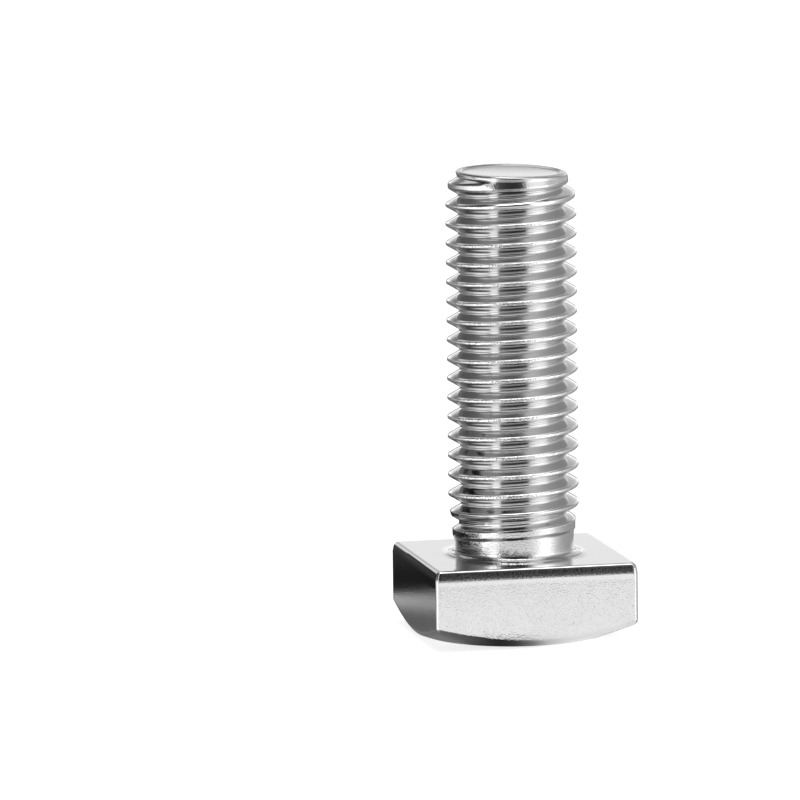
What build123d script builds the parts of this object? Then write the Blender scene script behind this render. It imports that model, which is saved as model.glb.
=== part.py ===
# Square head bolt, forged and rolled from one piece of stainless steel.
# Millimetres. The origin is the centre of the bearing face under the head, and +Z runs along the shank to its end.
import os
from math import cos, radians, sin, tan

from build123d import *

# Head
ACROSS_FLATS = 18.6
HEAD_HEIGHT = 7.3
REST_DIAMETER = 16.5  # the flat round field on the outside, which the bolt stands on
CHAMFER_ANGLE = 20.5  # the cone round that field, from the horizontal
REST_EDGE_ROUND = 2.5
CORNER_ROUND = 0.5
BEARING_EDGE_ROUND = 0.5
OUTER_EDGE_BREAK = 0.3

# Shank
LENGTH = 34.85  # under the head, 35 nominal
NECK_DIAMETER = 10.84
NECK_LENGTH = 1.4
HEAD_FILLET = 0.9
LIP_DIAMETER = 11.1  # the first, half-formed ridge above the neck
LIP_HEIGHT = 1.2
GROWTH_HEIGHT = 2.0  # over which the ridges grow to their full size

# Thread, right-hand
MAJOR_DIAMETER = 11.8
PITCH = 1.75
FLANK_ANGLE = 60.0
CREST_FLAT = 0.29
ROOT_FLAT = 0.21
GROOVE_START = 2.84  # least height of the groove's middle where it has its full depth
GROOVE_END_DEPTH = 0.5  # the same at the other end, below the end of the bolt
GROOVE_END_ANGLE = 167.0  # its direction there, from +X
FADE_BELOW = 0.45  # turns over which the groove leaves the shank by the neck
FADE_ABOVE = 0.3  # and by the end

# End of the shank
RIM_DIAMETER = 10.3
RIM_HEIGHT = 0.4
RIM_BREAK = 0.2
RIM_WIDTH = 0.75
TAPER_HEIGHT = 2.75
DISH_DEPTH = 0.28

FADE_POINTS = 8

major_radius = MAJOR_DIAMETER / 2
groove_depth = (PITCH - CREST_FLAT - ROOT_FLAT) / 2 / tan(radians(FLANK_ANGLE / 2))
minor_radius = major_radius - groove_depth
cut_margin = CREST_FLAT / 2
neck_radius = NECK_DIAMETER / 2
lip_radius = LIP_DIAMETER / 2
rim_radius = RIM_DIAMETER / 2


def turned(*outline):
    """A full turn of a closed outline, given as radius and height."""
    return revolve(make_face(Plane.XZ * Polyline(*outline, close=True)), Axis.Z)


def head():
    """Square block with rounded corners, its outside turned to a flat field and a shallow cone."""
    block = Box(ACROSS_FLATS, ACROSS_FLATS, HEAD_HEIGHT, align=(Align.CENTER, Align.CENTER, Align.MAX))
    block = fillet(block.edges().filter_by(Axis.Z), CORNER_ROUND)
    rest = REST_DIAMETER / 2
    reach = ACROSS_FLATS
    cone_top = (reach - rest) * tan(radians(CHAMFER_ANGLE)) - HEAD_HEIGHT
    stock = turned((0, 0), (0, -HEAD_HEIGHT), (rest, -HEAD_HEIGHT), (reach, cone_top), (reach, 0))
    stock = fillet(stock.edges().filter_by(GeomType.CIRCLE).group_by(Axis.Z)[0], REST_EDGE_ROUND)
    block = block & stock
    sides = block.faces().filter_by(lambda face: abs(face.normal_at().Z) < 0.01)
    block = chamfer([side.edges().sort_by(Axis.Z)[0] for side in sides], OUTER_EDGE_BREAK)
    return fillet(block.edges().group_by(Axis.Z)[-1], BEARING_EDGE_ROUND)


def shank_blank():
    """The shank before its groove: neck, lip, growing ridges, crest, taper, thin rim and shallow dish."""
    growth_start = NECK_LENGTH + LIP_HEIGHT
    rim_bottom = LENGTH - RIM_HEIGHT
    taper_depth = major_radius - rim_radius
    return turned(
        (0, -HEAD_HEIGHT / 2),
        (neck_radius, -HEAD_HEIGHT / 2),
        (neck_radius, NECK_LENGTH),
        (lip_radius, NECK_LENGTH + lip_radius - neck_radius),
        (lip_radius, growth_start),
        (major_radius, growth_start + GROWTH_HEIGHT),
        (major_radius, rim_bottom - TAPER_HEIGHT),
        (major_radius - taper_depth / 3, rim_bottom - TAPER_HEIGHT / 3),
        (rim_radius, rim_bottom),
        (rim_radius, LENGTH - RIM_BREAK),
        (rim_radius - RIM_BREAK, LENGTH),
        (rim_radius - RIM_WIDTH, LENGTH),
        (0, LENGTH - DISH_DEPTH),
    )


def groove_corners():
    """Radius of the four corners of the groove's section, and their height from its middle."""
    outer_radius = major_radius + cut_margin
    root_half = ROOT_FLAT / 2
    outer_half = root_half + (outer_radius - minor_radius) * tan(radians(FLANK_ANGLE / 2))
    return [
        (minor_radius, -root_half),
        (minor_radius, root_half),
        (outer_radius, outer_half),
        (outer_radius, -outer_half),
    ]


def groove_walls(edges):
    """The four long faces between the corner edges of one span of the groove."""
    return [Face.make_surface_from_curves(a, b) for a, b in zip(edges, edges[1:] + edges[:1])]


def full_span(height, angle):
    """Corner edges of half a turn of the groove at its full depth, upwards from this height and angle."""
    return [
        Rot(0, 0, angle) * Edge.make_helix(PITCH, PITCH / 2, radius, center=(0, 0, height + offset))
        for radius, offset in groove_corners()
    ]


def fading_span(height, angle, turns):
    """Corner edges of the groove where it leaves the shank, over these turns upwards or, below zero, downwards."""
    lift = groove_depth + cut_margin

    def point(radius, offset, share):
        out = radius + lift * share**2 * (3 - 2 * share)
        direction = radians(angle + 360 * turns * share)
        return Vector(out * cos(direction), out * sin(direction), height + offset + PITCH * turns * share)

    edges = []
    for radius, offset in groove_corners():
        points = [point(radius, offset, i / FADE_POINTS) for i in range(FADE_POINTS + 1)]
        near = 0.001
        tangents = [point(radius, offset, share + near) - point(radius, offset, share - near) for share in (0, 1)]
        edges.append(Edge.make_spline(points, tangents=tangents))
    return edges


def groove():
    """The whole groove as one cutter: half turns along the helix, and a fading end at each side."""
    top = LENGTH - GROOVE_END_DEPTH
    half_turns = int((top - GROOVE_START) / PITCH * 2)
    bottom = top - PITCH / 2 * half_turns
    bottom_angle = GROOVE_END_ANGLE - 180 * half_turns
    faces = []
    for i in range(half_turns):
        faces += groove_walls(full_span(bottom + PITCH / 2 * i, bottom_angle + 180 * i))
    for height, angle, turns in ((top, GROOVE_END_ANGLE, FADE_ABOVE), (bottom, bottom_angle, -FADE_BELOW)):
        edges = fading_span(height, angle, turns)
        faces += groove_walls(edges)
        faces.append(Face(Wire.make_polygon([edge @ 1 for edge in edges], close=True)))
    return Solid(Shell(faces))


def square_head_bolt():
    """Head and shank as one blank, then the thread."""
    blank = head() + shank_blank()
    neck_foot = blank.edges().filter_by(GeomType.CIRCLE).filter_by(lambda edge: abs(edge.center().Z) < 0.01)
    return fillet(neck_foot, HEAD_FILLET) - groove()


os.makedirs("parts", exist_ok=True)
bolt = square_head_bolt()
print(f"square_head_bolt: {len(bolt.solids())} solid, {bolt.volume:.0f} mm3, valid {bolt.is_valid}")
export_step(bolt, "parts/square_head_bolt.step")
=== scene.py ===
# %% [markdown]
# # A square head bolt
# The part is one forged and rolled piece of stainless steel: a square head, a short plain neck and a shank with a
# coarse metric thread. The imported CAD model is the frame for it. This script puts a finer skin of the same size in
# its place, gives it its steel, and lights it. The thread's shape follows a rule, so Geometry Nodes make it. The head
# is a block whose outline changes from level to level, so it is built as rings of points. Lengths are in millimetres
# until a mesh is finished, because that is how a bolt is drawn.

from math import cos, pi, radians, sin, tan

import bmesh
import bpy
import numpy as np
from mathutils import Matrix, Vector


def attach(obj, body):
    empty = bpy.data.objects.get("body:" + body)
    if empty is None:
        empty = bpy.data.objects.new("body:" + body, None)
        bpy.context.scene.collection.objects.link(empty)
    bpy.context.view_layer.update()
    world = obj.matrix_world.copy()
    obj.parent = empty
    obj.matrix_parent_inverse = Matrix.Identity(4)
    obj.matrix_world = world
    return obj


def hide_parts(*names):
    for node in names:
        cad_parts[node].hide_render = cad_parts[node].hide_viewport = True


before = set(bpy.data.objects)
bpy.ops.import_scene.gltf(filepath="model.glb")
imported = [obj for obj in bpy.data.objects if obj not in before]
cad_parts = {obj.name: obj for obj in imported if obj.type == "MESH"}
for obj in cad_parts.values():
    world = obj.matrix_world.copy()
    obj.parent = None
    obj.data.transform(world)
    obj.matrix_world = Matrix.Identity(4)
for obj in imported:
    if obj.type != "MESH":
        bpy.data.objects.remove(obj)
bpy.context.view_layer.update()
MM = 0.001

# %% [markdown]
# ## Sizes
# These are the sizes of the bolt itself. The origin is the centre of the bearing face under the head, and the shank
# runs up the Z axis. The columns are the vertical lines of the mesh. The head and the shank share them, so the two
# can be joined point to point.

# %% Sizes of the bolt
LENGTH = 34.85
HEAD_HEIGHT = 7.3
ACROSS_FLATS = 18.6
HALF_ACROSS = ACROSS_FLATS / 2
CORNER_ROUND = 0.4
NECK_RADIUS = 5.42
NECK_FILLET = 0.5
MAJOR_RADIUS = 5.9
PITCH = 1.75
RIM_START = 34.6  # the height where the rolled shank ends and the rim begins
COLUMNS = 160
print("head", ACROSS_FLATS, "mm across flats, shank", LENGTH, "mm long, pitch", PITCH, "mm")

# %% [markdown]
# ## Numbers that flow through nodes
# A node tree can work out a rule, but a long sum made of single Math nodes is hard to read. This small class lets a
# socket be added, multiplied and compared like a number, and each sign becomes one Math node. The same class serves
# the thread here, and the steel and the studio later.


# %% A helper for rules in node trees
class Flow:
    """A number in a node tree. Each sum or product of it adds one Math node."""

    def __init__(self, tree, socket):
        self.tree, self.socket = tree, socket

    def math(self, operation, *others):
        node = self.tree.nodes.new("ShaderNodeMath")
        node.operation = operation
        for entry, value in zip(node.inputs, (self, *others)):
            if isinstance(value, Flow):
                self.tree.links.new(value.socket, entry)
            else:
                entry.default_value = value
        return Flow(self.tree, node.outputs[0])

    def __add__(self, other):
        return self.math("ADD", other)

    def __sub__(self, other):
        return self.math("SUBTRACT", other)

    def __mul__(self, other):
        return self.math("MULTIPLY", other)

    def __truediv__(self, other):
        return self.math("DIVIDE", other)

    def curve(self, *points):
        """A smooth curve through these points, each an input and its output, level outside them."""
        (low, first), (high, last) = points[0], points[-1]
        bottom = min(y for x, y in points)
        span = max(y for x, y in points) - bottom
        node = self.tree.nodes.new("ShaderNodeFloatCurve")
        line = node.mapping.curves[0].points
        for x, y in points[1:-1]:
            line.new((x - low) / (high - low), (y - bottom) / span)
        line[0].location = (0, (first - bottom) / span)
        line[-1].location = (1, (last - bottom) / span)
        node.mapping.update()
        share = (self - low) / (high - low)
        self.tree.links.new(share.math("MAXIMUM", 0.0).math("MINIMUM", 1.0).socket, node.inputs["Value"])
        return Flow(self.tree, node.outputs[0]) * span + bottom


# %% [markdown]
# ## The groove of the thread
# A rolled thread is one groove that winds round the shank. It could be cut from a blank, or swept along a helix, but
# both leave awkward joints where the groove runs out. Here the shank is a sheet of points instead: a flat grid is
# rolled into a tube and sheared, so that each of its rows follows the helix, and a rule gives every point its
# distance from the axis. A point's distance from the middle of the nearest groove gives the sixty-degree V with its
# rounded root. Floors lift the root at both ends, where the real groove runs out, and the last turn opens upwards.

# %% The rule for the groove
ROOT_APEX_RADIUS = 4.64  # where the flanks would meet if the root weren't round
ROOT_ROUND = 0.13
FLANK_SLOPE = tan(radians(60))
FLOOR_BLEND, RIM_BLEND = 0.12, 0.05
OPENING = 1.3


def groove_radius(height, offset, middle):
    """Distance from the axis in the groove, whose middle lies at this height and this many turns away."""
    away = offset.math("ABSOLUTE") * PITCH
    flank = away * FLANK_SLOPE + ROOT_APEX_RADIUS
    half_chord = (away * away * -1.0 + ROOT_ROUND**2).math("MAXIMUM", 0.0).math("SQRT")
    root = half_chord * -1.0 + ROOT_APEX_RADIUS + 2 * ROOT_ROUND
    in_root = away.math("LESS_THAN", ROOT_ROUND * cos(radians(30)))
    groove = flank + (root - flank) * in_root

    last_turn = middle.curve((33.4, 0.0), (34.2, 1.0))
    above = (height - middle).math("MAXIMUM", 0.0)
    groove = groove - above * last_turn * OPENING

    neck_floor = middle.curve((1.9, 5.75), (2.1, 5.5), (2.4, 5.2), (2.84, 4.96), (3.2, 4.84), (3.9, 4.6))
    end_floor = middle.curve((34.1, 4.68), (34.34, 4.8), (34.55, 5.0), (34.72, 5.3), (34.8, 5.45))
    rim_floor = height.curve((34.1, 4.6), (34.25, 4.8), (34.45, 4.88), (34.6, 4.94))
    groove = groove.math("SMOOTH_MAX", neck_floor, FLOOR_BLEND).math("SMOOTH_MAX", end_floor, FLOOR_BLEND)
    return groove.math("SMOOTH_MAX", rim_floor, RIM_BLEND)


# %% [markdown]
# ## Crests and ends of the thread
# Rolling pushes the steel of the groove up into a crest on both sides. On this bolt the first turns by the neck
# stay low, a tilted lip lies under them, and the last turns taper towards the end. One could cut a threaded bar with
# a second shape. Here an outer limit, which changes with height, does it: the smaller of groove and limit counts, and
# a smooth minimum also rounds the crest. Turns are counted down from the first ridge at the end of the shank.

# %% The rule for the shank's radius
FIRST_RIDGE, FIRST_RIDGE_ANGLE = 34.342, -12.84  # its height where it points this way, in degrees
CREST_BLEND, NECK_BLEND, END_BLEND = 0.14, 0.1, 0.16
LIP_HEIGHT, LIP_TILT, LIP_TOWARD, LIP_STEP = 1.8, 0.355, radians(45), 0.06


def outer_limit(height, angle, ridge):
    """Distance from the axis that the steel doesn't pass, with the nearest ridge at this height."""
    by_neck = height.curve(
        (1.2, 5.5), (1.5, 5.54), (1.97, 5.56), (2.84, 5.57), (3.3, 5.63), (3.72, 5.73), (4.6, 5.88), (5.6, MAJOR_RADIUS)
    )
    by_end = ridge.curve(
        (30.6, MAJOR_RADIUS), (31.65, 5.89), (32.55, 5.79), (33.05, 5.74), (33.47, 5.67), (33.9, 5.43), (34.34, 5.2),
        (34.8, 5.15)
    )
    past_ridge = (height - ridge + 0.12).math("MAXIMUM", 0.0).math("MINIMUM", 0.55)
    slant = past_ridge * ridge.curve((33.78, 0.0), (33.86, 0.3), (34.2, 0.2))
    limit = by_neck.math("MINIMUM", by_end - slant)
    lip_line = (angle * (2 * pi) + LIP_TOWARD).math("COSINE") * LIP_TILT + LIP_HEIGHT
    above_lip = ((height - lip_line) / LIP_STEP).math("MAXIMUM", 0.0).math("MINIMUM", 1.0)
    return (limit - NECK_RADIUS) * above_lip + NECK_RADIUS


def shank_radius(height, angle):
    """Distance from the axis at this height, and this angle in turns."""
    turn = (height * -1.0 + FIRST_RIDGE) / PITCH + angle - FIRST_RIDGE_ANGLE / 360
    offset = turn - turn.math("FLOOR") - 0.5
    middle = height + offset * PITCH
    ridge = middle - offset.math("SIGN") * (PITCH / 2)
    blend = height.curve((1.8, NECK_BLEND), (3.2, CREST_BLEND)) + ridge.curve((32.6, 0.0), (33.4, END_BLEND))
    return groove_radius(height, offset, middle).math("SMOOTH_MIN", outer_limit(height, angle, ridge), blend)


# %% [markdown]
# ## The shank's node tree
# The rule needs points to work on. The tree makes a flat grid, rolls it up, gives each point its distance from the
# axis and welds the seam. Its sizes are named inputs, so that more rows or another pitch can be tried in the
# modifier. The rows lie closer together at the crests and the roots, where the surface bends most.

# %% Named inputs of the tree
ROWS_PER_TURN, TURNS = 20, 22
shank_tree = bpy.data.node_groups.new("rolled shank", "GeometryNodeTree")
shank_tree.interface.new_socket(name="Geometry", in_out="OUTPUT", socket_type="NodeSocketGeometry")
shank_inputs = {}
for name, kind, value in (
    ("Columns", "NodeSocketInt", COLUMNS),
    ("Rows per turn", "NodeSocketInt", ROWS_PER_TURN),
    ("Turns", "NodeSocketInt", TURNS),
    ("Pitch", "NodeSocketFloat", PITCH),
    ("Bottom", "NodeSocketFloat", NECK_FILLET),
    ("Top", "NodeSocketFloat", RIM_START),
):
    socket = shank_tree.interface.new_socket(name=name, in_out="INPUT", socket_type=kind)
    socket.default_value = value
    shank_inputs[name] = (socket.identifier, value)
entry = shank_tree.nodes.new("NodeGroupInput")
given = {name: Flow(shank_tree, entry.outputs[name]) for name in shank_inputs}
print("rolled shank takes:", ", ".join(shank_inputs))

# %% The grid, rolled along the helix
CROWDING = 0.5  # how strongly the rows draw together at crests and roots
grid = shank_tree.nodes.new("GeometryNodeMeshGrid")
rows = given["Rows per turn"] * given["Turns"] + 1
shank_tree.links.new((given["Columns"] + 1).socket, grid.inputs["Vertices X"])
shank_tree.links.new(rows.socket, grid.inputs["Vertices Y"])
place = shank_tree.nodes.new("ShaderNodeSeparateXYZ")
shank_tree.links.new(shank_tree.nodes.new("GeometryNodeInputPosition").outputs[0], place.inputs[0])

column_angle = Flow(shank_tree, place.outputs["X"]) + 0.5
turns_up = (Flow(shank_tree, place.outputs["Y"]) + 0.5) * given["Turns"]
crowded = turns_up - (turns_up * (4 * pi)).math("SINE") * (CROWDING / (4 * pi))
first_row = FIRST_RIDGE - FIRST_RIDGE_ANGLE / 360 * PITCH - (TURNS - 1) * PITCH
row_height = (crowded + column_angle) * given["Pitch"] + first_row
row_height = row_height.math("MAXIMUM", given["Bottom"]).math("MINIMUM", given["Top"])
tube_radius = shank_radius(row_height, column_angle)
rolled = shank_tree.nodes.new("ShaderNodeCombineXYZ")
shank_tree.links.new((tube_radius * (column_angle * (2 * pi)).math("COSINE")).socket, rolled.inputs["X"])
shank_tree.links.new((tube_radius * (column_angle * (2 * pi)).math("SINE")).socket, rolled.inputs["Y"])
shank_tree.links.new(row_height.socket, rolled.inputs["Z"])
print("first row starts", round(first_row, 2), "mm up")

# %% From points to a painted mesh
WELD_DISTANCE = 0.0005
steel = bpy.data.materials.new("stainless_steel")
moved = shank_tree.nodes.new("GeometryNodeSetPosition")
shank_tree.links.new(grid.outputs["Mesh"], moved.inputs["Geometry"])
shank_tree.links.new(rolled.outputs[0], moved.inputs["Position"])
welded = shank_tree.nodes.new("GeometryNodeMergeByDistance")
welded.inputs["Distance"].default_value = WELD_DISTANCE
realized = shank_tree.nodes.new("GeometryNodeRealizeInstances")
painted = shank_tree.nodes.new("GeometryNodeSetMaterial")
painted.inputs["Material"].default_value = steel
result = shank_tree.nodes.new("NodeGroupOutput")
for before, after in ((moved, welded), (welded, realized), (realized, painted), (painted, result)):
    shank_tree.links.new(before.outputs["Geometry"], after.inputs["Geometry"])
print("rolled shank:", len(shank_tree.nodes), "nodes")

# %% [markdown]
# ## From tree to mesh
# The tree only describes the shank. Blender works it out on an empty object, and the result is kept as a plain mesh,
# so that it can be joined to the head.


# %% The shank as a plain mesh
def run_tree(tree, inputs):
    """The mesh that a geometry tree makes with these inputs."""
    carrier = bpy.data.objects.new("carrier", bpy.data.meshes.new("carrier"))
    bpy.context.scene.collection.objects.link(carrier)
    modifier = carrier.modifiers.new("tree", "NODES")
    modifier.node_group = tree
    for identifier, value in inputs.values():
        modifier[identifier] = value
    evaluated = carrier.evaluated_get(bpy.context.evaluated_depsgraph_get())
    mesh = bpy.data.meshes.new_from_object(evaluated)
    carrier.modifiers.clear()
    bpy.data.objects.remove(carrier)
    return mesh


shank = run_tree(shank_tree, shank_inputs)
shank_points = np.array([v.co for v in shank.vertices])
shank_faces = [list(face.vertices) for face in shank.polygons]
print("shank:", len(shank_points), "points,", len(shank_faces), "faces")

# %% [markdown]
# ## Rings of points
# Everything else on the bolt is a ring whose outline changes from level to level: the dish at the end, the fillet
# under the neck, the square head with its rounded edges, and the cone and flat field on its outside. A ring has one
# point for each column. Two rings side by side make a strip of faces, and the outermost ones meet the shank's ends.

# %% Outlines of rings
CORNER_STEPS = COLUMNS // 40
SIDE_STEPS = COLUMNS // 8 - CORNER_STEPS - 1
LAST_STEP = 0.12  # a short last step keeps the side flat up to its corner
turn_angles = 2 * pi * np.arange(COLUMNS) / COLUMNS
toward = np.stack([np.cos(turn_angles), np.sin(turn_angles)], axis=1)


def circle(radius):
    """Plan points of a round ring."""
    return toward * np.reshape(radius, (-1, 1))


def square(half_width, corner_round):
    """Plan points of a square ring with rounded corners, and the outward direction at each."""
    flat = half_width - corner_round
    along = np.append(np.linspace(0, flat - LAST_STEP, SIDE_STEPS + 1), flat)
    bend = np.radians(np.linspace(0, 45, CORNER_STEPS + 1)[1:])
    x = np.append(np.full(len(along), half_width), flat + corner_round * np.cos(bend))
    y = np.append(along, flat + corner_round * np.sin(bend))
    turned = np.append(np.zeros(len(along)), bend)
    # one eighth, mirrored to a quarter, then turned four times
    eighth = np.stack([x, y], axis=1)
    facing = np.stack([np.cos(turned), np.sin(turned)], axis=1)
    quarter = np.concatenate([eighth, eighth[-2:0:-1, ::-1]])
    quarter_facing = np.concatenate([facing, facing[-2:0:-1, ::-1]])
    plan, out = [], []
    for k in range(4):
        spin = np.array([[cos(k * pi / 2), sin(k * pi / 2)], [-sin(k * pi / 2), cos(k * pi / 2)]])
        plan.append(quarter @ spin)
        out.append(quarter_facing @ spin)
    return np.concatenate(plan), np.concatenate(out)


def ring(plan, height):
    """Plan points lifted to a height, or to one height for each point."""
    return np.column_stack([plan, np.broadcast_to(height, len(plan))])


side_plan, side_out = square(HALF_ACROSS, CORNER_ROUND)
print("one ring has", len(side_plan), "points")

# %% [markdown]
# ## The foot of the neck
# A tight fillet joins the neck to the bearing face, and a shallow swelling lies round it, as forging leaves it. A
# bevel would round the corner but give no swelling, so both are rings that follow a curve.

# %% Rings of the fillet and the swelling
FILLET_END = radians(70)
SWELLING_HEIGHT, SWELLING_BULGE, SWELLING_RADIUS = 0.09, 0.035, 6.25

head_rings = []
fillet_arc = (NECK_FILLET - SWELLING_HEIGHT) / sin(FILLET_END)
for tilt in np.linspace(0, FILLET_END, 9):
    plan = circle(NECK_RADIUS + fillet_arc * (1 - cos(tilt)))
    head_rings.append(ring(plan, NECK_FILLET - fillet_arc * sin(tilt)))
fillet_foot = NECK_RADIUS + fillet_arc * (1 - cos(FILLET_END))
for share in (0.12, 0.3, 0.5, 0.7, 0.88, 1.0):
    plan = circle(fillet_foot + (SWELLING_RADIUS - fillet_foot) * share)
    head_rings.append(ring(plan, SWELLING_HEIGHT * (1 - share) ** 1.5 + SWELLING_BULGE * sin(pi * share) ** 2))
print("foot of the neck:", len(head_rings), "rings")

# %% [markdown]
# ## The bearing face
# The bearing face is flat, and its edge rolls over gently before it turns sharply, as forged edges do. A single
# rounding would mirror the room in one even line. Two arcs, a wide one and then a tight one, give the broad soft
# line with a sharp border that the real edge has.

# %% Rings of the bearing face and its edge
WIDE_ARC, WIDE_ARC_ANGLE, TIGHT_ARC = 2.2, radians(20), 0.36
EDGE_STEPS, MARGIN = 7, 0.1
CORNER_LOSS, LEAST_CORNER = 0.4, 0.2  # the corners get sharper as the outline moves in, down to a least round


def bearing_edge(steps):
    """Inset from the side and depth below the bearing face, from that face down to the side."""
    drop = WIDE_ARC * sin(WIDE_ARC_ANGLE) + TIGHT_ARC * (1 - sin(WIDE_ARC_ANGLE))
    path = []
    for tilt in np.linspace(pi / 2, WIDE_ARC_ANGLE, steps):
        inset = WIDE_ARC * (1 - cos(WIDE_ARC_ANGLE)) + TIGHT_ARC * (cos(WIDE_ARC_ANGLE) - cos(tilt))
        path.append((inset, -TIGHT_ARC * (1 - sin(tilt))))
    for tilt in np.linspace(WIDE_ARC_ANGLE, 0, steps)[1:]:
        path.append((WIDE_ARC * (1 - cos(tilt)), -drop + WIDE_ARC * sin(tilt)))
    return path


def square_ring(inset):
    """Plan points of the head's outline, moved in by this much."""
    return square(HALF_ACROSS - inset, max(CORNER_ROUND - CORNER_LOSS * inset, LEAST_CORNER))[0]


edge = bearing_edge(EDGE_STEPS)
inner = square_ring(edge[0][0] + MARGIN)
for share in (0.15, 0.4, 0.7):
    head_rings.append(ring(circle(SWELLING_RADIUS + MARGIN) * (1 - share) + inner * share, 0))
head_rings.append(ring(inner, 0))
head_rings += [ring(square_ring(inset), depth) for inset, depth in edge]
print("with the bearing face:", len(head_rings), "rings, edge", round(-edge[-1][1], 2), "mm deep")

# %% [markdown]
# ## Sides and outside of the head
# The sides run down to a soft edge and a shallow cone with a round flat field, as a turned chamfer leaves them.
# Cutting a cube with a cone would leave long thin faces. Here each ring on the cone lies between the square above it
# and the round field in its middle, and takes its height from the cone itself.

# %% Rings of the sides and the outside
REST_RADIUS = 8.25
CONE_SLOPE = tan(radians(20.5))
FIELD_BLEND = 0.08
OUTER_EDGE = 0.45


def outside(plan):
    """Height of the head's outside under these plan points: a cone that blends into a flat field."""
    past = (np.hypot(*plan.T) - REST_RADIUS) * CONE_SLOPE
    return -HEAD_HEIGHT + (past + np.sqrt(past**2 + FIELD_BLEND**2)) / 2


slope = np.arctan(CONE_SLOPE * np.sum(side_plan * side_out, axis=1) / np.hypot(*side_plan.T))
side_top = edge[-1][1]
side_foot = outside(side_plan) + OUTER_EDGE * np.tan((pi / 2 - slope) / 2)
for share in (0.03, 0.3, 0.6, 0.85, 0.985):
    head_rings.append(ring(side_plan, side_top * (1 - share) + side_foot * share))
for share in np.linspace(0, 1, 7):
    tilt = share * (pi / 2 - slope)
    plan = side_plan - side_out * (OUTER_EDGE * (1 - np.cos(tilt)))[:, None]
    head_rings.append(ring(plan, side_foot - OUTER_EDGE * np.sin(tilt)))
cone_plan = head_rings[-1][:, :2]
for share in (0.05, 0.3, 0.6, 0.85, 0.95, 1.0):
    plan = cone_plan * (1 - share) + circle(REST_RADIUS) * share
    head_rings.append(ring(plan, outside(plan)))
for radius in (8.1, 7.9, 7.6, 6.5, 4.5, 2.5):
    head_rings.append(ring(circle(radius), outside(circle(radius))))
print("head:", len(head_rings), "rings, lowest point", round(min(r[:, 2].min() for r in head_rings), 3))

# %% [markdown]
# ## The end of the shank
# Rolling pushes the end of a bolt out into a thin raised rim round a shallow dish. A torus on a disc would look
# added. Here the rim starts from the shank's own last ring, so it follows the groove that runs close under it. Its
# outer side is sharp on one side of the bolt and rounder on the other, worn one. The dish is a soft bowl that rises a
# little to the foot of the rim.

# %% Where the shank's last ring lies
WORN_SIDE = radians(-13)
ROUND_SHARP, ROUND_WORN = 0.1, 0.4

last = shank_points[shank_points[:, 2] > RIM_START - 1e-4]
columns = np.round(np.arctan2(last[:, 1], last[:, 0]) / (2 * pi) * COLUMNS).astype(int) % COLUMNS
rim_radius = np.zeros(COLUMNS)
rim_radius[columns] = np.hypot(last[:, 0], last[:, 1])
worn = 0.5 + 0.5 * np.cos(turn_angles - WORN_SIDE)
rim_round = ROUND_SHARP + (ROUND_WORN - ROUND_SHARP) * worn**1.5
print("rim radius", round(rim_radius.min(), 3), "to", round(rim_radius.max(), 3))

# %% Rings of the dish and the rim
RIM_WIDTH, ROUND_HEIGHT = 0.75, 0.2
DISH_DEPTH, DISH_RISE = 0.27, 0.11
CROWN_FALL, ROUND_DROP = 0.015, 0.02

dish_radius = rim_radius.mean() - RIM_WIDTH
dish_floor = LENGTH - DISH_DEPTH
rim_foot = LENGTH - DISH_DEPTH + DISH_RISE
end_rings = [ring(circle(0.01), dish_floor)]
for share in (0.3, 0.6, 0.85, 0.97):
    end_rings.append(ring(circle(dish_radius * share), dish_floor + DISH_RISE * share**2))
# the rim's section: from its foot up to the crown, along the crown, and round to the outer side
crown = dish_radius + (rim_radius - rim_round - dish_radius) * (0.45 + 0.5 * worn)
for share in np.linspace(0, 1, 9):
    radius = dish_radius + (crown - dish_radius) * share
    end_rings.append(ring(circle(radius), rim_foot + (LENGTH - rim_foot) * (0.5 - 0.5 * cos(pi * share))))
for share in (0.35, 0.7):
    radius = crown + (rim_radius - rim_round - crown) * share
    end_rings.append(ring(circle(radius), LENGTH - CROWN_FALL * share))
for tilt in np.radians(np.linspace(0, 90, 8)):
    radius = rim_radius - rim_round * (1 - sin(tilt))
    end_rings.append(ring(circle(radius), LENGTH - ROUND_DROP - ROUND_HEIGHT * (1 - cos(tilt))))
end_rings.append(ring(circle(rim_radius), RIM_START))
print("end:", len(end_rings), "rings")

# %% [markdown]
# ## Strips of faces
# Two neighbouring rings become a strip of four-sided faces, and one many-sided face closes the middle of the dish
# and of the head's outside. Both are flat there, so the single face doesn't show.


# %% Faces of the end and the head
def strips(rings):
    """Faces between neighbouring rings, from the top one down, as points and faces."""
    faces = []
    for level in range(len(rings) - 1):
        a = level * COLUMNS + np.arange(COLUMNS)
        b = level * COLUMNS + (np.arange(COLUMNS) + 1) % COLUMNS
        faces += np.stack([a, a + COLUMNS, b + COLUMNS, b], axis=1).tolist()
    return np.concatenate(rings), faces


end_points, end_faces = strips(end_rings)
head_points, head_faces = strips(head_rings)
end_faces.append(list(range(COLUMNS)))
head_faces.append(list(range(len(head_points) - COLUMNS, len(head_points)))[::-1])
print("end:", len(end_faces), "faces, head:", len(head_faces), "faces")

# %% [markdown]
# ## Wear on one side
# The end of this bolt has been knocked down a little on one side, so its rim stands lower there. Sculpting could do
# it by hand. Sinking the points by a smooth rule, strongest at the worn side and gone less than a turn below, keeps
# the thread's shape.

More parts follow.
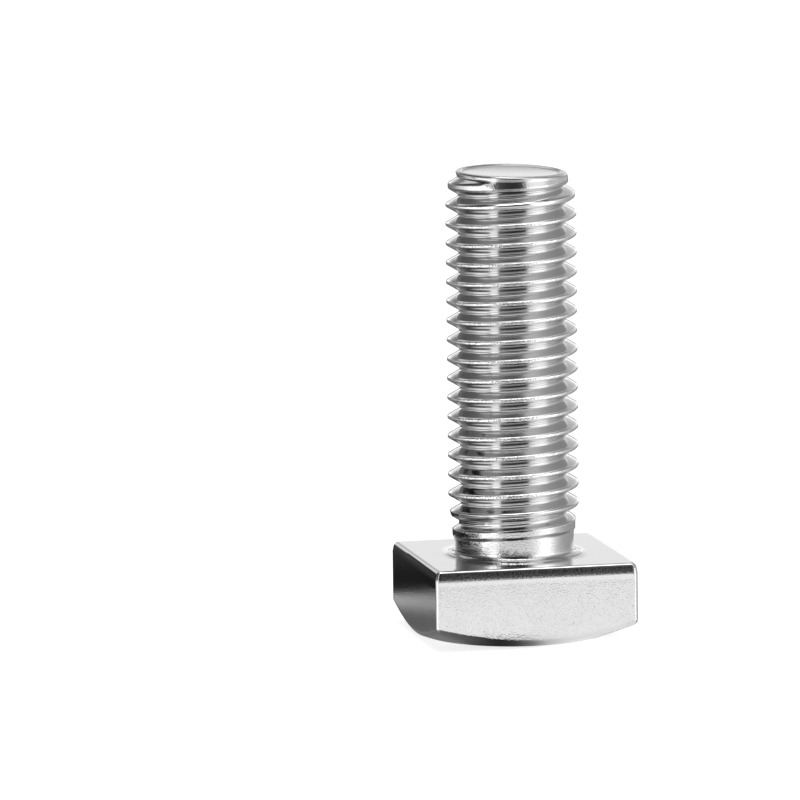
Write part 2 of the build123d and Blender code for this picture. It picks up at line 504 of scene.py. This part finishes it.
# %% Sink the worn side of the end
WORN_BY, WORN_FROM = 0.26, 33.2
all_points = np.concatenate([shank_points, end_points, head_points])
toward_worn = 0.5 + 0.5 * (all_points[:, 0] * cos(WORN_SIDE) + all_points[:, 1] * sin(WORN_SIDE)) / rim_radius.max()
near_end = np.clip((all_points[:, 2] - WORN_FROM) / (RIM_START - WORN_FROM), 0, 1)
all_points[:, 2] -= WORN_BY * np.clip(toward_worn, 0, 1) ** 2 * near_end**2 * (3 - 2 * near_end)
print("rim stands", round(all_points[:, 2].max(), 3), "mm up at its highest")

# %% [markdown]
# ## One closed skin
# The three parts are welded where their points meet. A count of open edges shows whether the skin is closed, because
# a seam that stays open would show in reflections.

# %% Join the parts into one mesh
shift = len(shank_points)
all_faces = shank_faces + [[i + shift for i in face] for face in end_faces]
shift += len(end_points)
all_faces += [[i + shift for i in face] for face in head_faces]

skin = bpy.data.meshes.new("square_head_bolt_skin")
skin.from_pydata((all_points * MM).tolist(), [], all_faces)
work = bmesh.new()
work.from_mesh(skin)
bmesh.ops.remove_doubles(work, verts=work.verts, dist=0.002 * MM)
open_edges = [e for e in work.edges if len(e.link_faces) != 2]
print("skin:", len(work.verts), "points,", len(work.faces), "faces,", len(open_edges), "open edges,",
      "volume", round(work.calc_volume() / MM**3), "mm3")
work.to_mesh(skin)
work.free()
skin.shade_smooth()
bolt = bpy.data.objects.new("square_head_bolt_skin", skin)
bpy.context.scene.collection.objects.link(bolt)
bolt.data.materials.append(steel)
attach(bolt, "root")
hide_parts("square_head_bolt")

# %% [markdown]
# ## Stainless steel
# One material covers the whole bolt, because it is one piece of steel, but its surface differs with the way each
# part was made and used. Several materials could meet at borders, but the real borders are soft. So one material
# takes soft masks, each worked out from a point's place on the bolt. A mask is 1 where its surface is and 0 elsewhere.

# %% Helpers for masks
steel.use_nodes = True
metal = steel.node_tree
shader = metal.nodes["Principled BSDF"]
shader.inputs["Metallic"].default_value = 1


def ramp(value, low, high):
    """0 below the first limit, 1 above the second, and a smooth rise between them."""
    node = value.tree.nodes.new("ShaderNodeMapRange")
    node.interpolation_type = "SMOOTHSTEP"
    node.inputs["From Min"].default_value = low
    node.inputs["From Max"].default_value = high
    value.tree.links.new(value.socket, node.inputs["Value"])
    return Flow(value.tree, node.outputs["Result"])


def falling(value, low, high):
    """1 below the first limit, 0 above the second, and a smooth fall between them."""
    return ramp(value, low, high) * -1.0 + 1.0


def window(value, low, high, soft):
    """1 between two limits, with soft edges."""
    return ramp(value, low - soft, low + soft) * falling(value, high - soft, high + soft)


# %% Masks of the bolt's surfaces
in_mm = metal.nodes.new("ShaderNodeVectorMath")
in_mm.operation = "SCALE"
in_mm.inputs["Scale"].default_value = 1 / MM
metal.links.new(metal.nodes.new("ShaderNodeTexCoord").outputs["Object"], in_mm.inputs[0])
spot = metal.nodes.new("ShaderNodeSeparateXYZ")
metal.links.new(in_mm.outputs[0], spot.inputs[0])
x_mm, y_mm, z_mm = (Flow(metal, spot.outputs[i]) for i in range(3))
out_from_axis = (x_mm * x_mm + y_mm * y_mm).math("SQRT")
farther = x_mm.math("ABSOLUTE").math("MAXIMUM", y_mm.math("ABSOLUTE"))

side_from, side_full = HALF_ACROSS - 0.25, HALF_ACROSS - 0.1
on_side = ramp(farther, side_from, side_full)
on_front = ramp(y_mm * -1.0, side_from, side_full)
on_band = on_side * ramp(z_mm, -1.7, -1.2)  # the upper part of the sides, with the rolled edge
on_outside = ramp(z_mm * -1.0, 0.6, 0.8) * (on_side * -1.0 + 1.0)
on_neck = window(z_mm, 0.1, 2.9, 0.1)
off_head = falling(out_from_axis, 6, 6.1)
on_crest = ramp(out_from_axis, 5.83, 5.89) * window(z_mm, 2.9, 33.9, 0.2) * off_head
# where the ridges of the thread get a painted highlight in the colour further down
ridge_highlight_mask = ramp(out_from_axis, 5.66, 5.84) * window(z_mm, 2.6, 33.9, 0.2) * off_head
on_end = window(z_mm, 33.3, 34.25, 0.1) * ramp(out_from_axis, 5.0, 5.15)  # the tapered end under the rim
on_rim = ramp(z_mm, 34.3, 34.4) * ramp(out_from_axis, 4.15, 4.3)
on_dish = ramp(z_mm, 34.2, 34.3) * falling(out_from_axis, 4.1, 4.3)
print("masks:", len(metal.nodes), "nodes so far")

# %% [markdown]
# ## Grain and polish
# The flanks of the thread are rolled bright. The crests are a little scuffed, the neck and the sides of the head
# keep a fine grain from forging, the outside of the head has a coarser one, and the rim and the dish are satin.
# Pictures of grain would need mapping. Noise in space needs none, and looks the same all round. The grain is a low
# bump, so that it glitters where the studio's lights end, and roughness blurs what the duller surfaces mirror.


# %% Noise for grain, pits, streaks and patches
def noise(where, scale, detail):
    """Fine cloudy noise, about 0 to 1. The scale is per millimetre."""
    node = metal.nodes.new("ShaderNodeTexNoise")
    node.inputs["Scale"].default_value = scale
    node.inputs["Detail"].default_value = detail
    metal.links.new(where, node.inputs["Vector"])
    return Flow(metal, node.outputs["Fac"])


stretched = metal.nodes.new("ShaderNodeVectorMath")
stretched.operation = "MULTIPLY"
stretched.inputs[1].default_value = (0.25, 0.25, 6)  # thin in height and long round the bolt
metal.links.new(in_mm.outputs[0], stretched.inputs[0])
grain = noise(in_mm.outputs[0], 9.5, 0.5)
pits = ramp(noise(in_mm.outputs[0], 8.5, 2.0), 0.58, 0.76) * (on_side + on_outside + on_neck).math("MINIMUM", 1.0)
streaks = noise(stretched.outputs[0], 1.0, 3.0)
patches = noise(in_mm.outputs[0], 0.45, 2.0)
print("noise:", len(metal.nodes), "nodes so far")

# %% Roughness and relief
BUMP_HEIGHT = 0.02
rough = (
    on_side * 0.03 - on_band * 0.06 + on_crest * 0.05 + on_neck * 0.04 + on_outside * 0.22
    + on_rim * 0.15 + on_dish * 0.1 + patches * 0.04 + 0.055
)
metal.links.new(rough.socket, shader.inputs["Roughness"])
grain_amount = (
    on_side * 0.5 - on_band * 0.46 + on_end * 0.45 + on_rim * 0.5 + on_crest * 1.7
    + on_neck * 0.6 + on_outside * 1.6 + 0.05
)
relief = grain * grain_amount + streaks * 0.1
bump = metal.nodes.new("ShaderNodeBump")
bump.inputs["Distance"].default_value = BUMP_HEIGHT * MM
metal.links.new(relief.socket, bump.inputs["Height"])
metal.links.new(bump.outputs[0], shader.inputs["Normal"])
print("grain and polish:", len(metal.nodes), "nodes so far")

# %% [markdown]
# ## Colour of the steel
# The steel is nearly even in tone, with faint cloudy patches. Small pits on the head and the neck are dark. Dark
# specks along the rolled top edge of the head's front side are a painted dark reflection. The ridges of the thread are
# painted almost white, a painted highlight. Each of these is laid over the one before, the way coats of paint would be.

# %% Dark pits, a painted dark band and a painted highlight on the ridges
DULL_STEEL, PALE_STEEL = (0.68, 0.68, 0.68, 1), (0.76, 0.76, 0.755, 1)
PIT_AND_PAINTED_BAND_DARK, PAINTED_RIDGE_HIGHLIGHT = (0.12, 0.12, 0.12, 1), (0.95, 0.95, 0.95, 1)
PIT_COVER, PAINTED_BAND_COVER, RIDGE_HIGHLIGHT_COVER = 0.3, 0.7, 0.9


def laid_over(under, colour, cover):
    """The colour of a socket, or a plain one, with another laid over it as far as this share."""
    node = metal.nodes.new("ShaderNodeMix")
    node.data_type = "RGBA"
    if isinstance(under, tuple):
        node.inputs["A"].default_value = under
    else:
        metal.links.new(under, node.inputs["A"])
    node.inputs["B"].default_value = colour
    metal.links.new(cover.socket, node.inputs["Factor"])
    return node.outputs["Result"]


# painted dark reflection: dark specks along the rolled top edge of the front side, where it mirrors the studio's dark
# gap
painted_dark_band = ramp(grain, 0.42, 0.6) * ramp(z_mm, -1.0, -0.85) * on_front * PAINTED_BAND_COVER
tone = laid_over(DULL_STEEL, PALE_STEEL, patches)
# the dark colour serves both the real pits and the painted dark band
pits_and_painted_band = laid_over(tone, PIT_AND_PAINTED_BAND_DARK, (pits * PIT_COVER).math("MAXIMUM", painted_dark_band))
# painted highlight: the ridges of the thread are painted almost white
with_ridge_highlight = laid_over(pits_and_painted_band, PAINTED_RIDGE_HIGHLIGHT, ridge_highlight_mask * RIDGE_HIGHLIGHT_COVER)
metal.links.new(with_ridge_highlight, shader.inputs["Base Color"])
print("steel:", len(metal.nodes), "nodes")

# %% [markdown]
# ## The studio
# Polished steel has hardly a colour of its own: it shows the room. Lamps, walls and a backdrop could be built one by
# one, but a world whose brightness depends on direction does the same with less, and it looks right from every side.
# Azimuth is 0 on the camera's side, at the head's front, and grows to the right. Elevation is 0 at eye level. A room
# seen in steel falls into three heights: what lies underneath, what is level with the eye, and what is raised.

# %% Directions into the room
world = bpy.data.worlds.new("studio")
bpy.context.scene.world = world
world.use_nodes = True
room = world.node_tree
sky = room.nodes["Background"]
direction = room.nodes.new("ShaderNodeSeparateXYZ")
room.links.new(room.nodes.new("ShaderNodeTexCoord").outputs["Generated"], direction.inputs[0])
east, north, upward = (Flow(room, direction.outputs[i]) for i in range(3))
azimuth = east.math("ARCTAN2", north * -1.0) * (180 / pi)
elevation = upward.math("ARCSINE") * (180 / pi)
print("directions:", len(room.nodes), "nodes")

# %% [markdown]
# ## Light at three heights
# Two broad soft lights stand left and right of the camera, with a dark gap between them and grey walls farther
# round. Raised above eye level the lights are narrower and the gap darker. Underneath, the table is bright only to
# the right. Each height is a curve over the azimuth, drawn through a few light levels, where 1 is white.

# %% Curves of light round the room
underneath = azimuth.curve(
    (-180, 0.22), (-150, 0.15), (-118, 0.17), (-62, 0.38), (-40, 0.28), (-10, 0.17), (18, 0.45), (40, 0.8),
    (60, 0.65), (93, 0.45), (180, 0.22)
)
level = azimuth.curve(
    (-180, 0.2), (-152, 0.25), (-136, 0.4), (-126, 0.7), (-100, 1.2), (-86, 1.5), (-48, 1.7), (-38, 0.5), (-10, 0.32),
    (12, 0.35), (20, 0.55), (32, 1.1), (42, 1.75), (50, 1.9), (66, 1.4), (84, 0.65), (110, 0.42), (140, 0.4),
    (160, 0.2), (180, 0.2)
)
raised = azimuth.curve(
    (-180, 0.35), (-150, 0.3), (-127, 0.12), (-110, 0.14), (-79, 0.28), (-66, 0.5), (-58, 1.6), (-51, 1.7), (-42, 0.4),
    (-30, 0.12), (-10, 0.06), (12, 0.1), (19, 0.35), (33, 1.7), (46, 1.8), (75, 0.9), (93, 0.7), (112, 0.5),
    (126, 0.5), (142, 0.95), (153, 0.75), (163, 0.35), (180, 0.35)
)
raised = raised * elevation.curve((8, 1.2), (20, 0.7), (50, 0.5))
print("light at three heights:", len(room.nodes), "nodes so far")

# %% [markdown]
# ## Backdrop and borders
# Behind the bolt hangs a backdrop that is brightest just above the table and fades upwards. The three heights meet
# in soft borders, so that no hard line runs round the thread. The border underneath lies lower on the left, where the
# left light hangs down.

# %% The three heights put together
backdrop = (ramp(azimuth, 146, 158) + falling(azimuth, -174, -160)) * elevation.curve(
    (2, 0.0), (5, 0.75), (8.3, 0.65), (11, 0.42), (15, 0.25), (24, 0.0)
)
left_light_hangs = window(azimuth, -104, -70, 10) * 9
is_raised = window(elevation, 1, 57, 4)
is_underneath = falling(elevation + left_light_hangs, -18, -6)
is_level = (is_raised + is_underneath + ramp(elevation, 53, 61)) * -1.0 + 1.0
light = (raised + backdrop) * is_raised + underneath * is_underneath + level * is_level.math("MAXIMUM", 0.0)
print("heights together:", len(room.nodes), "nodes so far")

# %% [markdown]
# ## Smaller lights
# A few lights lie outside the three curves: the ceiling with a bright lamp in its middle, two high side lights that
# the upper flanks of the thread mirror, a weak fill under the camera, and two lights behind the bolt that draw its
# left edges. Each is a window in azimuth times one in elevation, times its strength.

# %% Ceiling, side lights, fill and back lights
behind = azimuth.math("ABSOLUTE")
ceiling = window(azimuth, 15, 110, 12) * 0.5 + 0.16
light = light + ramp(elevation, 58, 74) * ceiling + ramp(elevation, 70, 78) * 3.2
light = light + window(azimuth, -62, -36, 5) * window(elevation, 56, 73, 4) * 0.9
light = light + window(azimuth, 42, 96, 6) * window(elevation, 58, 74, 4)
light = light + window(elevation, -15, -3, 3) * window(azimuth, -36, 20, 8) * 0.3
light = light + ramp(behind, 140, 156) * window(elevation, 32, 72, 4) * 0.6
light = light + falling(azimuth, -174, -165) * window(elevation, 7, 15, 2) * 0.4

# the camera itself sees plain white past the floor
world_rays = room.nodes.new("ShaderNodeLightPath")
seen = Flow(room, world_rays.outputs["Is Camera Ray"])
light = light * (seen * -1.0 + 1.0) + seen
room.links.new(light.socket, sky.inputs["Strength"])
sky.inputs["Color"].default_value = (1, 1, 1, 1)
print("studio:", len(room.nodes), "nodes")

# %% [markdown]
# ## The floor
# The floor is white paper. Paper that is only matte would need so much light to look white that the steel would
# burn out. So it is part matte, which takes the bolt's shadow, and part steady white that only camera rays see. The
# steel doesn't mirror it: what the steel shows from underneath is in the studio's own curve.

# %% White paper
PAPER_GREY, STEADY_WHITE = (0.6, 0.6, 0.6, 1), 0.78
bpy.ops.mesh.primitive_plane_add(size=4, location=(0, 0, -HEAD_HEIGHT * MM))
floor = bpy.context.object
floor.name = "floor"
paper = bpy.data.materials.new("white_paper")
paper.use_nodes = True
sheet = paper.node_tree
sheet.nodes.clear()
matte = sheet.nodes.new("ShaderNodeBsdfDiffuse")
matte.inputs["Color"].default_value = PAPER_GREY
steady = sheet.nodes.new("ShaderNodeEmission")
paper_rays = sheet.nodes.new("ShaderNodeLightPath")
by_camera = Flow(sheet, paper_rays.outputs["Is Camera Ray"])
sheet.links.new((by_camera * STEADY_WHITE).socket, steady.inputs["Strength"])
both = sheet.nodes.new("ShaderNodeAddShader")
paper_out = sheet.nodes.new("ShaderNodeOutputMaterial")
sheet.links.new(matte.outputs[0], both.inputs[0])
sheet.links.new(steady.outputs[0], both.inputs[1])
sheet.links.new(both.outputs[0], paper_out.inputs["Surface"])
floor.data.materials.append(paper)
floor.visible_glossy = False
print("floor at", -HEAD_HEIGHT, "mm")

# %% [markdown]
# ## Cards
# A world light is endlessly far away, so a flat side of the head mirrors one small patch of it in an even tone. The
# tones and borders inside such a side come from things that stand near. Photographers set cards round polished
# things for that, and so does this scene. The left card makes the head's left side dark with a lighter foot. The
# card level with the neck darkens the neck's left side. The strip in front lights the front side evenly. The one
# under the front edge stands for the paper close under the head, with a painted shadow at its left end. Only
# reflections see them. A card glows by itself, and its light level is a curve along one axis.


# %% Cards that the steel mirrors
def card(name, pairs, axis, *levels):
    """A card between pairs of points, which only reflections see. Its brightness changes along one axis."""
    mesh = bpy.data.meshes.new(name)
    faces = [(2 * i, 2 * i + 2, 2 * i + 3, 2 * i + 1) for i in range(len(pairs) - 1)]
    mesh.from_pydata([[c * MM for c in point] for pair in pairs for point in pair], [], faces)
    thing = bpy.data.objects.new(name, mesh)
    bpy.context.scene.collection.objects.link(thing)
    paint = bpy.data.materials.new(name)
    paint.use_nodes = True
    tree = paint.node_tree
    tree.nodes.clear()
    where = tree.nodes.new("ShaderNodeSeparateXYZ")
    tree.links.new(tree.nodes.new("ShaderNodeTexCoord").outputs["Object"], where.inputs[0])
    glow = tree.nodes.new("ShaderNodeEmission")
    along = Flow(tree, where.outputs[axis]) / MM
    tree.links.new(along.curve(*levels).socket, glow.inputs["Strength"])
    surface = tree.nodes.new("ShaderNodeOutputMaterial")
    tree.links.new(glow.outputs[0], surface.inputs["Surface"])
    mesh.materials.append(paint)
    thing.visible_camera = thing.visible_diffuse = thing.visible_shadow = False
    print(name, "stands ready with", len(faces), "faces")


def standing(plan, low, high):
    """Pairs of points for a card that stands on this line."""
    return [((across, along, low), (across, along, high)) for across, along in plan]


# %% Where the cards stand
card("card_left", standing([(6, 30), (-11, 27), (-26, 18)], -15, 0.5), "Z",
     (-15, 0.2), (-12, 0.22), (-11, 0.14), (-9.9, 0.13), (-8.9, 0.28), (-8.0, 0.45), (-7.6, 0.06), (-7, 0.02),
     (-4, 0.03), (0.5, 0.08))
card("card_neck", standing([(-11.5, 12.5), (-14, 9), (-16, 3), (-16.5, -6.5)], -1.3, 1.3), "Y",
     (-6.5, 0.8), (-5.3, 0.3), (-3.5, 0.1), (12.5, 0.07))
card("card_front", standing([(-65, -40), (-12.3, -53.6), (45, -68)], -22, -7), "Z", (-22, 1.0), (-8, 1.12), (-7, 1.0))
FOOT_GAP = 0.1  # the card under the front edge lies this far below the head
under_edge = -HEAD_HEIGHT - FOOT_GAP
# painted shadow: this card is darker at its left end, as a shadow on the paper beside the head
card("card_foot_painted_shadow", [((-10, -6, under_edge), (-10, -15, under_edge)), ((12, -6, under_edge), (12, -15, under_edge))], "X",
     (-10, 0.2), (-6, 0.1), (-3, 0.03), (-1, 0.15), (2, 0.8), (5, 1.0), (12, 0.9))

# %% [markdown]
# ## The camera
# The photograph was taken from a little above and a little to the left, with a lens so long that the bolt's sides
# stay almost parallel. One could aim the camera at the bolt, but the bolt doesn't stand in the middle of the
# picture, and turning towards it would change its perspective. Shifting the lens moves the picture instead.

# %% Camera
AZIMUTH, ELEVATION, ROLL = radians(-12.944), radians(8.275), radians(-0.564)
DISTANCE, PIVOT_HEIGHT = 930.1, 15
FOCAL, CENTRE_X, CENTRE_Y, FRAME = 10311.1, 512.498, 387.80, 800  # in pixels of the picture
SENSOR = 36
back = Vector((sin(AZIMUTH) * cos(ELEVATION), -cos(AZIMUTH) * cos(ELEVATION), sin(ELEVATION)))
camera_data = bpy.data.cameras.new("camera")
camera = bpy.data.objects.new("camera", camera_data)
bpy.context.scene.collection.objects.link(camera)
camera_data.sensor_width = SENSOR
camera_data.lens = FOCAL / FRAME * SENSOR
camera_data.shift_x = -(CENTRE_X - FRAME / 2) / FRAME
camera_data.shift_y = (CENTRE_Y - FRAME / 2) / FRAME
camera_data.clip_start, camera_data.clip_end = 0.01, 20
camera.location = (Vector((0, 0, PIVOT_HEIGHT)) + back * DISTANCE) * MM
camera.rotation_mode = "QUATERNION"
camera.rotation_quaternion = (-back).to_track_quat("-Z", "Y") @ Matrix.Rotation(ROLL, 3, "Z").to_quaternion()
bpy.context.scene.camera = camera
bpy.context.scene.view_settings.view_transform = "Standard"
print("camera:", round(camera_data.lens), "mm lens,", round(camera.location.length, 3), "m away")
